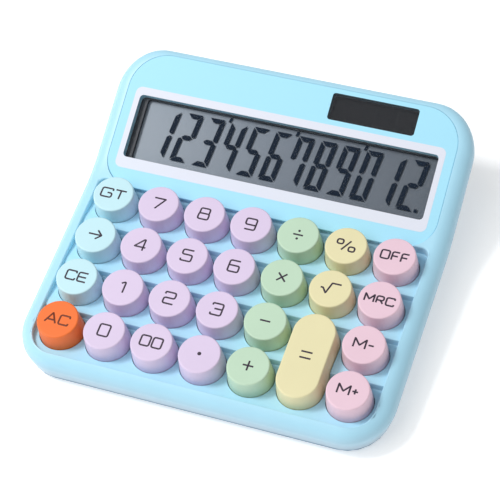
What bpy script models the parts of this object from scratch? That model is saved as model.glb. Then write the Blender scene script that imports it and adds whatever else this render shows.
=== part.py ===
"""Desk calculator: wedge case, tilted display, round keys that press down, and a sliding battery door.

World frame: metres, +X right, +Y to the back, +Z up, desk at z = 0 and origin under the middle of the case.
Two tilted frames hang from empties: the keyboard frame (z = 0 on the key tops, along the key travel) and
the display frame (z = 0 on the face of the display plate, y up the slope).
"""

import math

import bmesh
import bpy
from mathutils import Matrix, Vector

MM = 0.001

# ---- driving dimensions ------------------------------------------------------------------------
CASE_HALF_WIDTH = 74 * MM
CASE_FRONT = -70 * MM
CASE_BACK = 69 * MM
CASE_CORNER = 18 * MM
CASE_EDGE = 6 * MM  # radius of the soft edge round the top
BACK_EDGE = 0.75  # how far the soft edge reaches in at the back, as a share of CASE_EDGE
SIDE_LEAN = math.radians(20)  # the side walls tuck in below the soft edge
FRONT_DRAFT = 0.15
BACK_DRAFT = 0.03
EDGE_DROP = CASE_EDGE * (1 + math.sin(SIDE_LEAN))  # from the rim down to the end of the soft edge
EDGE_INSET = CASE_EDGE * (1 - math.cos(SIDE_LEAN))
SKIRT_BOTTOM = 3.1 * MM
WALL = 3 * MM

KEY_TILT = math.radians(4.0)
DISPLAY_TILT = math.radians(22.3)
KEY_ROWS = 4
PITCH_X = 19.05 * MM
PITCH_Y = 19.4 * MM
KEYBOARD_Y = -54.7 * MM  # front row of keys, in the world
KEY_TOP_HEIGHT = 21.5 * MM  # key tops of the front row above the desk
RIM_DROP = 5.9 * MM  # key tops down to the rim round the keys
HINGE_Y = 71 * MM  # where the keyboard plane meets the display plane, in the keyboard frame

KEY_TOP_RADIUS = 8.0 * MM
KEY_BASE_RADIUS = 8.7 * MM
KEY_BASE_DROP = 8.0 * MM
KEY_BOTTOM = -12.6 * MM
KEY_WALL = 1.2 * MM
KEY_EASE = 0.4 * MM  # softened rim of a key's face
KEY_ROOF = -1.6 * MM
KEY_POST_RADIUS = 2.0 * MM
KEY_LUG_REACH = 10.2 * MM
HOLE_RADIUS = 9.0 * MM
GAP = 0.3 * MM
FIT_GAP = 0.35 * MM  # round the display plate and the battery door

TRAY_HALF_WIDTH = 67.6 * MM
TRAY_FRONT = -11.3 * MM
TRAY_BACK = 67.7 * MM
TRAY_FRONT_CORNER = 9.5 * MM
TRAY_BACK_CORNER = 3 * MM
RIDGE_TOP = -7.4 * MM
RIDGE_WIDTH = 2.6 * MM
RIDGE_STEP = 0.6 * MM  # how far the steep face under a ridge leans
TROUGH_LOW = -10.2 * MM
DECK_UNDER = -11.5 * MM

PLATE_HALF_WIDTH = 67.6 * MM
PLATE_LOW = -4.0 * MM
PLATE_HIGH = 51.8 * MM
PLATE_THICK = 1.5 * MM
PLATE_LOW_CORNER = 12 * MM
PLATE_HIGH_CORNER = 15 * MM
DISPLAY_UNDER = -3.8 * MM
WINDOW = (-61.8 * MM, 7.5 * MM, 61.8 * MM, 33.8 * MM)
SOLAR_WINDOW = (14.9 * MM, 39.1 * MM, 50.0 * MM, 50.1 * MM)

BASE_BOTTOM = 1.0 * MM
BASE_TOP = 2.8 * MM
FOOT_RADIUS = 5.5 * MM
BATTERY_RADIUS = 5.25 * MM
BATTERY_LENGTH = 44.5 * MM
BATTERY_Y = 51 * MM

SCREW_POST_RADIUS = 2.3 * MM
PILOT_RADIUS = 1.2 * MM
KEYBOARD_POSTS = ((-2.5, 0.5), (0.5, 0.5), (-2.5, 2.5), (2.5, 2.5))  # in key pitches from the front row
REAR_POSTS = ((-55 * MM, 57 * MM), (55 * MM, 57 * MM))
FEET = {
    "foot_front_left": (-57 * MM, -57 * MM),
    "foot_front_right": (57 * MM, -57 * MM),
    "foot_rear_left": (-46 * MM, 58 * MM),
    "foot_rear_right": (46 * MM, 58 * MM),
}

# Keys row by row from the back; None is the space that the tall equals key takes.
KEY_LAYOUT = (
    ("gt", "7", "8", "9", "divide", "percent", "off"),
    ("shift", "4", "5", "6", "multiply", "root", "mrc"),
    ("ce", "1", "2", "3", "minus", None, "m_minus"),
    ("ac", "0", "00", "point", "plus", "equals", "m_plus"),
)
KEY_COLOURS = {
    "cyan": (0.66, 0.90, 0.97),
    "lilac": (0.82, 0.71, 0.88),
    "green": (0.58, 0.79, 0.58),
    "yellow": (0.90, 0.80, 0.47),
    "pink": (0.91, 0.66, 0.75),
    "orange": (0.88, 0.25, 0.06),
}
KEY_FAMILY = {
    "gt": "cyan", "shift": "cyan", "ce": "cyan", "ac": "orange",
    "divide": "green", "multiply": "green", "minus": "green", "plus": "green",
    "percent": "yellow", "root": "yellow", "equals": "yellow",
    "off": "pink", "mrc": "pink", "m_minus": "pink", "m_plus": "pink",
}


# ---- frames ------------------------------------------------------------------------------------
KEYBOARD = Matrix.Translation((0, KEYBOARD_Y, KEY_TOP_HEIGHT)) @ Matrix.Rotation(KEY_TILT, 4, "X")
HINGE = KEYBOARD @ Vector((0, HINGE_Y, -RIM_DROP))
DISPLAY = Matrix.Translation(HINGE) @ Matrix.Rotation(DISPLAY_TILT, 4, "X")


def clear_scene():
    for old in list(bpy.data.objects):
        bpy.data.objects.remove(old, do_unlink=True)


def make_datum(name, matrix):
    datum = bpy.data.objects.new(name, None)
    bpy.context.scene.collection.objects.link(datum)
    datum.matrix_world = matrix
    return datum


# ---- materials ---------------------------------------------------------------------------------
def plastic(name, colour, roughness=0.45, metallic=0.0):
    material = bpy.data.materials.get(name)
    if material:
        return material
    material = bpy.data.materials.new(name)
    material.use_nodes = True
    shader = material.node_tree.nodes["Principled BSDF"]
    shader.inputs["Base Color"].default_value = (*colour, 1)
    shader.inputs["Roughness"].default_value = roughness
    shader.inputs["Metallic"].default_value = metallic
    return material


# ---- outlines and solids -----------------------------------------------------------------------
def arc(centre_x, centre_y, radius, start, end, steps):
    """Points on an arc, angles in degrees, both ends included."""
    points = []
    for i in range(steps + 1):
        angle = math.radians(start + (end - start) * i / steps)
        points.append((centre_x + radius * math.cos(angle), centre_y + radius * math.sin(angle)))
    return points


def rounded_box(low_x, low_y, high_x, high_y, low_radius, high_radius, steps=4):
    """Rounded rectangle, anticlockwise, with one radius on the low-y corners and one on the high-y ones."""
    low, high = low_radius, high_radius
    points = arc(high_x - high, high_y - high, high, 0, 90, steps)
    points += arc(low_x + high, high_y - high, high, 90, 180, steps)
    points += arc(low_x + low, low_y + low, low, 180, 270, steps)
    points += arc(high_x - low, low_y + low, low, 270, 360, steps)
    return points


def circle(x, y, radius, steps):
    return arc(x, y, radius, 0, 360 - 360 / steps, steps - 1)


def pill(x, low_y, high_y, radius, steps):
    """Two half circles joined by straight sides, along y."""
    return arc(x, high_y, radius, 0, 180, steps) + arc(x, low_y, radius, 180, 360, steps)


def link(name, bm, material=None, parent=None, location=(0, 0, 0)):
    bmesh.ops.recalc_face_normals(bm, faces=bm.faces)
    mesh = bpy.data.meshes.new(name)
    bm.to_mesh(mesh)
    bm.free()
    return place(name, mesh, material, parent, location)


def place(name, mesh, material=None, parent=None, location=(0, 0, 0)):
    if material:
        mesh.materials.clear()
        mesh.materials.append(material)
    piece = bpy.data.objects.new(name, mesh)
    bpy.context.scene.collection.objects.link(piece)
    piece.parent = parent
    piece.location = location
    return piece


def add_rings(bm, rings, split_top=None):
    """Skins a stack of closed rings with equal counts and caps both ends.

    split_top names two corners of the last ring; the top cap is then two flat faces that meet on that line.
    """
    loops = [[bm.verts.new(point) for point in ring] for ring in rings]
    count = len(loops[0])
    for below, above in zip(loops, loops[1:]):
        for i in range(count):
            j = (i + 1) % count
            bm.faces.new((below[i], below[j], above[j], above[i]))
    bm.faces.new(list(reversed(loops[0])))
    top = loops[-1]
    if split_top:
        first, second = split_top
        bm.faces.new(top[first:second + 1])
        bm.faces.new(top[second:] + top[:first + 1])
    else:
        bm.faces.new(top)


def add_prism(bm, outline, low, high):
    add_rings(bm, [[(x, y, z) for x, y in outline] for z in (low, high)])


def prism(name, outline, low, high, material=None, parent=None):
    bm = bmesh.new()
    add_prism(bm, outline, low, high)
    return link(name, bm, material, parent)


def box(name, low, high, material=None, parent=None):
    outline = [(low[0], low[1]), (high[0], low[1]), (high[0], high[1]), (low[0], high[1])]
    return prism(name, outline, low[2], high[2], material, parent)


def add_turned(bm, profile, steps, centre=(0, 0)):
    """Turns (radius, height) points about a vertical axis; the first and last radii are 0."""
    heart_low = bm.verts.new((*centre, profile[0][1]))
    heart_high = bm.verts.new((*centre, profile[-1][1]))
    rings = []
    for radius, height in profile[1:-1]:
        ring = [bm.verts.new((x, y, height)) for x, y in circle(*centre, radius, steps)]
        rings.append(ring)
    for below, above in zip(rings, rings[1:]):
        for i in range(steps):
            j = (i + 1) % steps
            bm.faces.new((below[i], below[j], above[j], above[i]))
    for i in range(steps):
        j = (i + 1) % steps
        bm.faces.new((heart_low, rings[0][j], rings[0][i]))
        bm.faces.new((heart_high, rings[-1][i], rings[-1][j]))


def turned(name, profile, steps, material=None, parent=None, location=(0, 0, 0)):
    bm = bmesh.new()
    add_turned(bm, profile, steps)
    return link(name, bm, material, parent, location)


def guide(piece):
    """Marks a cutter or a helper shape: it is not a piece of the object."""
    piece.hide_render = True
    piece.display_type = "WIRE"
    return piece


def boolean(target, tool, operation):
    guide(tool)
    step = target.modifiers.new(tool.name, "BOOLEAN")
    step.operation = operation
    step.object = tool
    step.solver = "EXACT"


def cut(target, tool):
    boolean(target, tool, "DIFFERENCE")


def weld(target, tool):
    boolean(target, tool, "UNION")


def smooth(piece, angle=35):
    piece.data.shade_smooth()
    piece.data.set_sharp_from_angle(angle=math.radians(angle))


# ---- case surfaces -----------------------------------------------------------------------------
def plane_height(frame, drop, y):
    """World height, at world y, of the plane that lies drop under a tilted frame's own plane."""
    point = frame @ Vector((0, 0, -drop))
    slope = math.tan(math.atan2(frame[2][1], frame[1][1]))
    return point.z + (y - point.y) * slope


def rim_height(y):
    return max(plane_height(KEYBOARD, RIM_DROP, y), plane_height(DISPLAY, 0, y))


def wall_top(y):
    """Where the leaning wall of the case ends and its soft edge begins."""
    return rim_height(y) - EDGE_DROP


def ceiling_height(y):
    """Top of the hollow inside the case."""
    return max(plane_height(KEYBOARD, -DECK_UNDER, y), plane_height(DISPLAY, -DISPLAY_UNDER, y))


def ceiling_fold():
    """World y where the two planes of the ceiling meet."""
    low, high = CASE_FRONT, CASE_BACK
    keyboard = [plane_height(KEYBOARD, -DECK_UNDER, y) for y in (low, high)]
    display = [plane_height(DISPLAY, -DISPLAY_UNDER, y) for y in (low, high)]
    start = keyboard[0] - display[0]
    end = keyboard[1] - display[1]
    return low + (high - low) * start / (start - end)


def case_edge(fold):
    """Plan of the case at its widest: points, with the outward direction at each.

    It starts at the right fold point, goes round by the back, and has a point on each side where the
    top folds."""
    corner = CASE_CORNER
    high, low, wide = CASE_BACK - corner, CASE_FRONT + corner, CASE_HALF_WIDTH - corner
    steps = 6
    points = [(CASE_HALF_WIDTH, fold, 1, 0)]
    for x, y, start in ((wide, high, 0), (-wide, high, 90), (-wide, low, 180), (wide, low, 270)):
        if start == 180:
            points.append((-CASE_HALF_WIDTH, fold, -1, 0))
        for across, up in arc(0, 0, 1, start, start + 90, steps):
            points.append((x + across * corner, y + up * corner, across, up))
    return points


FOLD_CORNERS = (0, 15)  # where case_edge puts the two fold points


def edge_ring(inset, drop, fold):
    """Ring on the soft edge of the case, which reaches in less at the back."""
    ring = []
    for x, y, across, up in case_edge(fold):
        y -= up * inset * (BACK_EDGE if up > 0 else 1)
        ring.append((x - across * inset, y, rim_height(y) - drop))
    return ring


def wall_ring(inset, height, fold):
    """Ring of the case wall at one height: below the soft edge the wall leans in, most at the sides."""
    ring = []
    for x, y, across, up in case_edge(fold):
        level = height(y) if callable(height) else height
        depth = max(wall_top(y) - level, 0)
        draft = BACK_DRAFT if up > 0 else FRONT_DRAFT
        side = inset + depth * math.tan(SIDE_LEAN)
        ring.append((x - across * side, y - up * (inset + depth * draft), level))
    return ring


def screw_places():
    """World x, y and post-top height of each screw."""
    places = []
    for column, row in KEYBOARD_POSTS:
        point = KEYBOARD @ Vector((column * PITCH_X, row * PITCH_Y, DECK_UNDER))
        places.append((point.x, point.y, point.z + 1.5 * MM))
    for x, y in REAR_POSTS:
        places.append((x, y, ceiling_height(y) + 1 * MM))
    return places


def key_places():
    """Name, x and y in the keyboard frame of each key's middle."""
    places = []
    for row, names in enumerate(KEY_LAYOUT):
        for column, name in enumerate(names):
            if name is None:
                continue
            x = (column - 3) * PITCH_X
            y = (KEY_ROWS - 1 - row) * PITCH_Y
            if name == "equals":
                y += PITCH_Y / 2
            places.append((name, x, y))
    return places


def key_outline(name, x, y, radius, steps):
    if name == "equals":
        return pill(x, y - PITCH_Y / 2, y + PITCH_Y / 2, radius, steps // 2)
    return circle(x, y, radius, steps)


# ---- top case ----------------------------------------------------------------------------------
def top_case_block(material):
    fold = HINGE.y
    rings = [wall_ring(EDGE_INSET, SKIRT_BOTTOM, fold)]
    steps = 6
    for step in range(steps + 1):
        angle = -SIDE_LEAN + (math.radians(90) + SIDE_LEAN) * step / steps
        inset = CASE_EDGE * (1 - math.cos(angle))
        drop = CASE_EDGE * (1 - math.sin(angle))
        rings.append(edge_ring(inset, drop, fold))
    bm = bmesh.new()
    add_rings(bm, rings, split_top=FOLD_CORNERS)
    return link("top_case", bm, material)


def case_hollow():
    inset = EDGE_INSET + WALL
    rings = [
        wall_ring(inset, -5 * MM, HINGE.y),
        wall_ring(inset, wall_top, HINGE.y),
        wall_ring(inset, ceiling_height, ceiling_fold()),
    ]
    bm = bmesh.new()
    add_rings(bm, rings, split_top=FOLD_CORNERS)
    return link("case_hollow", bm)


def key_tray(keyboard):
    """The sunk tray of the keys: a rounded pocket whose floor steps up to a ridge in front of each row."""
    outline = rounded_box(
        -TRAY_HALF_WIDTH, TRAY_FRONT, TRAY_HALF_WIDTH, TRAY_BACK, TRAY_FRONT_CORNER, TRAY_BACK_CORNER, 6
    )
    pocket = prism("tray_pocket", outline, -14 * MM, 6 * MM, None, keyboard)
    spare = 3 * MM
    line = [(TRAY_FRONT - spare, RIDGE_TOP)]
    for row in range(KEY_ROWS):
        ridge_front = (row + 0.5) * PITCH_Y - RIDGE_WIDTH / 2
        line.append((ridge_front - RIDGE_STEP, TROUGH_LOW))
        if row < KEY_ROWS - 1:
            line.append((ridge_front, RIDGE_TOP))
            line.append((ridge_front + RIDGE_WIDTH, RIDGE_TOP))
    line.append((TRAY_BACK + spare, TROUGH_LOW))
    bottom = -16 * MM
    side = [(line[0][0], bottom)] + line + [(line[-1][0], bottom)]
    half = TRAY_HALF_WIDTH + spare
    bm = bmesh.new()
    add_rings(bm, [[(x, y, z) for y, z in side] for x in (-half, half)])
    floor = link("tray_floor", bm, None, keyboard)
    cut(pocket, floor)
    return pocket


def make_top_case(keyboard, display, material):
    case = top_case_block(material)
    cut(case, case_hollow())

    bm = bmesh.new()
    for x, y, top in screw_places():
        add_prism(bm, circle(x, y, SCREW_POST_RADIUS, 12), BASE_TOP + GAP, top)
    weld(case, link("screw_posts", bm))

    cut(case, key_tray(keyboard))
    bm = bmesh.new()
    for name, x, y in key_places():
        add_prism(bm, key_outline(name, x, y, HOLE_RADIUS, 20), -14 * MM, -6.5 * MM)
    cut(case, link("key_holes", bm, None, keyboard))

    wide, low, high = PLATE_HALF_WIDTH + FIT_GAP, PLATE_LOW - FIT_GAP, PLATE_HIGH + FIT_GAP
    seat = rounded_box(-wide, low, wide, high, PLATE_LOW_CORNER, PLATE_HIGH_CORNER)
    cut(case, prism("plate_seat", seat, -PLATE_THICK - GAP, 5 * MM, None, display))
    bm = bmesh.new()
    for opening in (WINDOW, SOLAR_WINDOW):
        add_prism(bm, rounded_box(*opening, 2 * MM, 2 * MM, 3), -6 * MM, 1 * MM)
    cut(case, link("display_openings", bm, None, display))

    bm = bmesh.new()
    for x, y, _ in screw_places():
        add_prism(bm, circle(x, y, PILOT_RADIUS, 10), 0, 10 * MM)
    cut(case, link("pilot_holes", bm))
    smooth(case)
    return case


# ---- bottom case and what it carries -----------------------------------------------------------
COMPARTMENT = (-25.5 * MM, 44.5 * MM, 25.5 * MM, 57.5 * MM)
COMPARTMENT_WALL = 2 * MM
COMPARTMENT_TOP = 13 * MM
DOOR_HALF_WIDTH = 27.7 * MM
DOOR_FRONT = 43.3 * MM
DOOR_BACK = 66.8 * MM
DOOR_TOP = 2.05 * MM
GRIP_GROOVES = 4
GRIP_START = 58 * MM
GRIP_PITCH = 2 * MM


def make_bottom_case(material):
    fold, lip_top = HINGE.y, 6 * MM
    lip_outer = EDGE_INSET + WALL + 0.4 * MM
    lip_inner = lip_outer + 1.2 * MM
    rings = [
        wall_ring(EDGE_INSET + 1.2 * MM, BASE_BOTTOM, fold),
        wall_ring(EDGE_INSET + 0.2 * MM, BASE_BOTTOM + 0.9 * MM, fold),
        wall_ring(EDGE_INSET, BASE_TOP, fold),
        wall_ring(lip_outer, BASE_TOP, fold),
        wall_ring(lip_outer, lip_top, fold),
        wall_ring(lip_inner, lip_top, fold),
        wall_ring(lip_inner, BASE_TOP, fold),
    ]
    bm = bmesh.new()
    add_rings(bm, rings)
    base = link("bottom_case", bm, material)

    low_x, low_y, high_x, high_y = COMPARTMENT
    wall = COMPARTMENT_WALL
    weld(base, box(
        "compartment_block",
        (low_x - wall, low_y - wall, BASE_TOP - 0.5 * MM),
        (high_x + wall, high_y + wall, COMPARTMENT_TOP),
    ))
    cut(base, box("compartment_hollow", (low_x, low_y, -MM), (high_x, high_y, COMPARTMENT_TOP + MM)))
    cut(base, box(
        "door_recess",
        (-DOOR_HALF_WIDTH - FIT_GAP, DOOR_FRONT - FIT_GAP, -MM),
        (DOOR_HALF_WIDTH + FIT_GAP, CASE_BACK + MM, DOOR_TOP + FIT_GAP),
    ))

    head, shank, seat, through = 2.6 * MM, 1.3 * MM, 2.2 * MM, 4 * MM
    stepped = [(0, 0), (head, 0), (head, seat), (shank, seat), (shank, through), (0, through)]
    bm = bmesh.new()
    for x, y, _ in screw_places():
        add_turned(bm, stepped, 12, (x, y))
    for x, y in FEET.values():
        add_prism(bm, circle(x, y, FOOT_RADIUS + 0.4 * MM, 20), -MM, BASE_BOTTOM + 0.6 * MM)
    cut(base, link("base_holes", bm))
    smooth(base)
    return base


def make_battery_door(material):
    low = (-DOOR_HALF_WIDTH, DOOR_FRONT, BASE_BOTTOM)
    high = (DOOR_HALF_WIDTH, DOOR_BACK, DOOR_TOP)
    door = box("battery_door", low, high, material)
    bm = bmesh.new()
    for i in range(GRIP_GROOVES):
        y = GRIP_START + i * GRIP_PITCH
        groove = rounded_box(-8 * MM, y, 8 * MM, y + 0.9 * MM, 0.4 * MM, 0.4 * MM, 2)
        add_prism(bm, groove, 0, BASE_BOTTOM + 0.3 * MM)
    cut(door, link("grip_grooves", bm))
    return door


def make_feet(material):
    profile = [(0, 0), (4.7 * MM, 0), (FOOT_RADIUS, 0.6 * MM), (FOOT_RADIUS, 1.3 * MM), (0, 1.3 * MM)]
    for name, (x, y) in FEET.items():
        smooth(turned(name, profile, 18, material, None, (x, y, 0)))


def make_screws(material):
    head, shank = 2.2 * MM, 0.9 * MM
    face, seat, taper, tip = 1.15 * MM, 1.9 * MM, 8.6 * MM, 9.4 * MM
    profile = [
        (0, face), (head, face), (head, seat), (shank, seat), (shank, taper), (0.4 * MM, tip), (0, tip),
    ]
    for number, (x, y, _) in enumerate(screw_places(), start=1):
        smooth(turned(f"case_screw_{number}", profile, 10, material, None, (x, y, 0)))


def make_battery(cell_material, contact_material):
    half, shoulder, nub = BATTERY_LENGTH / 2, 1.5 * MM, 1.9 * MM
    profile = [
        (0, -half), (4.7 * MM, -half), (BATTERY_RADIUS, -half + 0.5 * MM), (BATTERY_RADIUS, half - shoulder),
        (nub, half - 1.2 * MM), (nub, half), (0, half),
    ]
    cell = turned("battery_cell", profile, 18, cell_material)
    cell.rotation_euler = (0, math.radians(90), 0)
    cell.location = (0, BATTERY_Y, BASE_TOP + 0.2 * MM + BATTERY_RADIUS)
    smooth(cell)

    front, back = BATTERY_Y - 4 * MM, BATTERY_Y + 4 * MM
    thick, low, high = 0.4 * MM, 3.4 * MM, 15 * MM
    right, left = 23.6 * MM, -24.4 * MM
    box("battery_contact_positive", (right, front, low), (right + thick, back, high), contact_material)
    corner = (left + thick, back, high)
    negative = box("battery_contact_negative", (left, front, low), corner, contact_material)
    foot, tip = -0.2 * MM, 1.4 * MM
    coil = turned("spring_cone", [(0, foot), (3.4 * MM, foot), (2.2 * MM, tip), (0, tip)], 12)
    coil.rotation_euler = (0, math.radians(90), 0)
    coil.location = (left + thick, BATTERY_Y, cell.location.z)
    weld(negative, coil)


# ---- display -----------------------------------------------------------------------------------
def make_display(display, materials):
    wide = PLATE_HALF_WIDTH
    plate = rounded_box(-wide, PLATE_LOW, wide, PLATE_HIGH, PLATE_LOW_CORNER, PLATE_HIGH_CORNER, 6)
    prism("display_plate", plate, -PLATE_THICK, 0, materials["plate"], display)

    panel_top, panel_bottom = DISPLAY_UNDER - GAP, -6.2 * MM
    low, high = (-64 * MM, 5 * MM, panel_bottom), (64 * MM, 36 * MM, panel_top)
    box("lcd_panel", low, high, materials["lcd"], display)

    holder_top, holder_bottom = panel_bottom - GAP, -8 * MM
    low, high = (-66 * MM, 8.5 * MM, holder_bottom), (66 * MM, 37.5 * MM, holder_top)
    holder = box("lcd_holder", low, high, materials["frame"], display)
    bm = bmesh.new()
    for side in (-1, 1):
        low_x, high_x = sorted((side * 64.4 * MM, side * 66 * MM))
        ledge = [(low_x, 9 * MM), (high_x, 9 * MM), (high_x, 37 * MM), (low_x, 37 * MM)]
        add_prism(bm, ledge, holder_top - 0.5 * MM, panel_top)
    weld(holder, link("holder_ends", bm, None, display))

    low_x, low_y, high_x, high_y = SOLAR_WINDOW
    box(
        "solar_cell",
        (low_x - 1.3 * MM, low_y - 0.4 * MM, panel_top - 1.2 * MM),
        (high_x + 1.3 * MM, high_y + 0.3 * MM, panel_top),
        materials["solar"],
        display,
    )


def make_ribbon(material):
    """Flat ribbon from the lower edge of the display panel down to the back edge of the main board."""
    to_keyboard = KEYBOARD.inverted() @ DISPLAY
    start = to_keyboard @ Vector((0, 6.5 * MM, -6.65 * MM))
    route = [
        to_keyboard @ Vector((0, 8.0 * MM, -6.65 * MM)) - Vector((0, 0.3 * MM, 0)),
        start,
        Vector((0, start.y - 3 * MM, start.z - 1.6 * MM)),
        Vector((0, start.y - 4.6 * MM, -14.4 * MM)),
        Vector((0, 71.4 * MM, -15.95 * MM)),
        Vector((0, 69.0 * MM, -15.95 * MM)),
    ]
    spine = smooth_route(route, 3)
    half_width, half_thick = 30 * MM, 0.12 * MM
    upper, lower = [], []
    for i, point in enumerate(spine):
        ahead = spine[min(i + 1, len(spine) - 1)] - spine[max(i - 1, 0)]
        side = Vector((0, -ahead.z, ahead.y)).normalized() * half_thick
        upper.append(point + side)
        lower.append(point - side)
    section = upper + lower[::-1]
    bm = bmesh.new()
    add_rings(bm, [[KEYBOARD @ Vector((x, p.y, p.z)) for p in section] for x in (-half_width, half_width)])
    return link("lcd_ribbon", bm, material)


def smooth_route(points, steps):
    """Catmull-Rom curve through the points, with so many steps between each two."""
    curve = []
    last = len(points) - 1
    for i in range(last):
        before, start, end, after = points[max(i - 1, 0)], points[i], points[i + 1], points[min(i + 2, last)]
        for step in range(steps):
            t = step / steps
            curve.append(0.5 * (
                2 * start + (end - before) * t + (2 * before - 5 * start + 4 * end - after) * t ** 2
                + (3 * start - before - 3 * end + after) * t ** 3
            ))
    curve.append(points[-1])
    return curve


def make_lead(name, points, material):
    """A thin insulated wire along a smooth route of world points."""
    curve = bpy.data.curves.new(name, "CURVE")
    curve.dimensions = "3D"
    curve.bevel_depth = 0.5 * MM
    curve.bevel_resolution = 1
    curve.use_fill_caps = True
    spline = curve.splines.new("POLY")
    route = smooth_route(points, 4)
    spline.points.add(len(route) - 1)
    for knot, point in zip(spline.points, route):
        knot.co = (*point, 1)
    curve.materials.append(material)
    lead = bpy.data.objects.new(name, curve)
    bpy.context.scene.collection.objects.link(lead)
    return lead


def board_end(x, rise):
    """The last two points of a lead that comes down behind the board and stops at its back edge."""
    edge = KEYBOARD @ Vector((x, 67.6 * MM, -15.5 * MM))
    return [edge + Vector((0, 8 * MM, rise)), edge + Vector((0, 2.5 * MM, 0))]


def make_solar_lead(name, cell_x, board_x, material):
    start = DISPLAY @ Vector((cell_x, 44 * MM, -6.1 * MM))
    below = DISPLAY @ Vector((cell_x, 43 * MM, -12 * MM))
    middle = DISPLAY @ Vector((cell_x, 25 * MM, -15 * MM))
    make_lead(name, [start, below, middle] + board_end(board_x, 2 * MM), material)


def make_battery_lead(name, contact_x, over_x, board_x, material):
    start = Vector((contact_x, BATTERY_Y, 15.8 * MM))
    over = Vector((over_x, BATTERY_Y - 8 * MM, 17 * MM))
    end = board_end(board_x, 1 * MM)
    halfway = (over + end[1]) / 2
    make_lead(name, [start, over, halfway] + end, material)


def make_leads(red, black):
    make_solar_lead("solar_lead_positive", 43 * MM, 46 * MM, red)
    make_solar_lead("solar_lead_negative", 48 * MM, 50 * MM, black)
    make_battery_lead("battery_lead_positive", 23.8 * MM, 26.8 * MM, 36 * MM, red)
    make_battery_lead("battery_lead_negative", -24.2 * MM, -27.2 * MM, -36 * MM, black)


# ---- board and rubber mat ----------------------------------------------------------------------
BOARD_TOP = -16.4 * MM
BOARD_BOTTOM = -17.4 * MM
MAT_TOP = -15.6 * MM
MAT_BOTTOM = -16.1 * MM
DOME_TOP = KEY_BOTTOM - GAP


def keyboard_post_holes(name, keyboard):
    radius = SCREW_POST_RADIUS + 0.9 * MM
    bm = bmesh.new()
    for column, row in KEYBOARD_POSTS:
        add_prism(bm, circle(column * PITCH_X, row * PITCH_Y, radius, 12), -20 * MM, -11 * MM)
    return link(name, bm, None, keyboard)


def make_board(keyboard, board_material, chip_material):
    outline = rounded_box(-63.5 * MM, -10 * MM, 63.5 * MM, 71 * MM, 9 * MM, 3 * MM, 3)
    board = prism("main_board", outline, BOARD_BOTTOM, BOARD_TOP, board_material, keyboard)
    cut(board, keyboard_post_holes("board_holes", keyboard))
    dome = [(0, -1.5 * MM), (3.5 * MM, -1.4 * MM), (5.6 * MM, -0.8 * MM), (6.2 * MM, 0), (0, 0)]
    chip = turned("controller_chip", dome, 16, chip_material, keyboard, (0, 58 * MM, BOARD_BOTTOM - GAP))
    smooth(chip)


def make_mat(keyboard, material):
    """Silicone mat: a flat web with one hollow-topped bump under each key."""
    outline = rounded_box(-62.5 * MM, -9 * MM, 62.5 * MM, 65.5 * MM, 3 * MM, 3 * MM, 2)
    mat = prism("rubber_dome_mat", outline, MAT_BOTTOM, MAT_TOP, material, keyboard)
    bm = bmesh.new()
    for _, x, y in key_places():
        rings = []
        for radius, height in ((4.5 * MM, MAT_TOP - 0.2 * MM), (2.8 * MM, DOME_TOP)):
            rings.append([(px, py, height) for px, py in circle(x, y, radius, 8)])
        add_rings(bm, rings)
    weld(mat, link("dome_bumps", bm, None, keyboard))
    cut(mat, keyboard_post_holes("mat_holes", keyboard))
    return mat


# ---- keys --------------------------------------------------------------------------------------
def key_lugs(half_length):
    """Two small catches on opposite corners that stop under the deck and keep the key in."""
    root, reach, half_wide = 7.8 * MM, KEY_LUG_REACH, 1.2 * MM
    corners = [(root, -half_wide), (reach, -half_wide), (reach, half_wide), (root, half_wide)]
    across = Matrix.Rotation(math.radians(45), 2)
    bm = bmesh.new()
    for side in (-1, 1):
        middle = Vector((0, side * half_length))
        outline = [across @ Vector((side * x, side * y)) + middle for x, y in corners]
        add_prism(bm, outline, KEY_BOTTOM, DECK_UNDER - GAP)
    return bm


def key_section():
    """Radius and height of a key's skin, from the rim of its face down the outside and up the inside."""
    inner = KEY_BASE_RADIUS - KEY_WALL
    return [
        (KEY_TOP_RADIUS - KEY_EASE, 0), (KEY_TOP_RADIUS, -KEY_EASE), (KEY_BASE_RADIUS, -KEY_BASE_DROP),
        (KEY_BASE_RADIUS, KEY_BOTTOM), (inner, KEY_BOTTOM), (inner - 0.5 * MM, KEY_ROOF),
    ]


def round_key_mesh():
    profile = [(0, 0)] + key_section() + [
        (KEY_POST_RADIUS, KEY_ROOF), (KEY_POST_RADIUS, KEY_BOTTOM), (0, KEY_BOTTOM),
    ]
    bm = bmesh.new()
    add_turned(bm, profile, 16)
    return bm


def tall_key_mesh():
    """The same section drawn out to a pill two rows long."""
    half, steps = PITCH_Y / 2, 8
    rings = []
    for radius, height in key_section():
        rings.append([(x, y, height) for x, y in pill(0, -half, half, radius, steps)])
    bm = bmesh.new()
    add_rings(bm, rings)
    return bm


def settled_mesh(piece, name):
    """The piece's mesh with its modifiers carried out, for keys to share."""
    graph = bpy.context.evaluated_depsgraph_get()
    mesh = bpy.data.meshes.new_from_object(piece.evaluated_get(graph))
    mesh.name = name
    return mesh


def make_keys(keyboard):
    pattern = link("round_key_pattern", round_key_mesh())
    weld(pattern, link("round_key_lugs", key_lugs(0)))
    guide(pattern)
    tall = link("tall_key_pattern", tall_key_mesh())
    root = KEY_ROOF + 0.4 * MM
    post = [(0, root), (KEY_POST_RADIUS, root), (KEY_POST_RADIUS, KEY_BOTTOM), (0, KEY_BOTTOM)]
    weld(tall, turned("tall_key_post", post, 12))
    weld(tall, link("tall_key_lugs", key_lugs(PITCH_Y / 2)))
    guide(tall)
    for name, x, y in key_places():
        mesh = settled_mesh(tall if name == "equals" else pattern, f"key_{name}")
        family = KEY_FAMILY.get(name, "lilac")
        material = plastic(f"key_{family}", KEY_COLOURS[family], 0.5)
        smooth(place(f"key_{name}", mesh, material, keyboard, (x, y, 0)))


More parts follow.
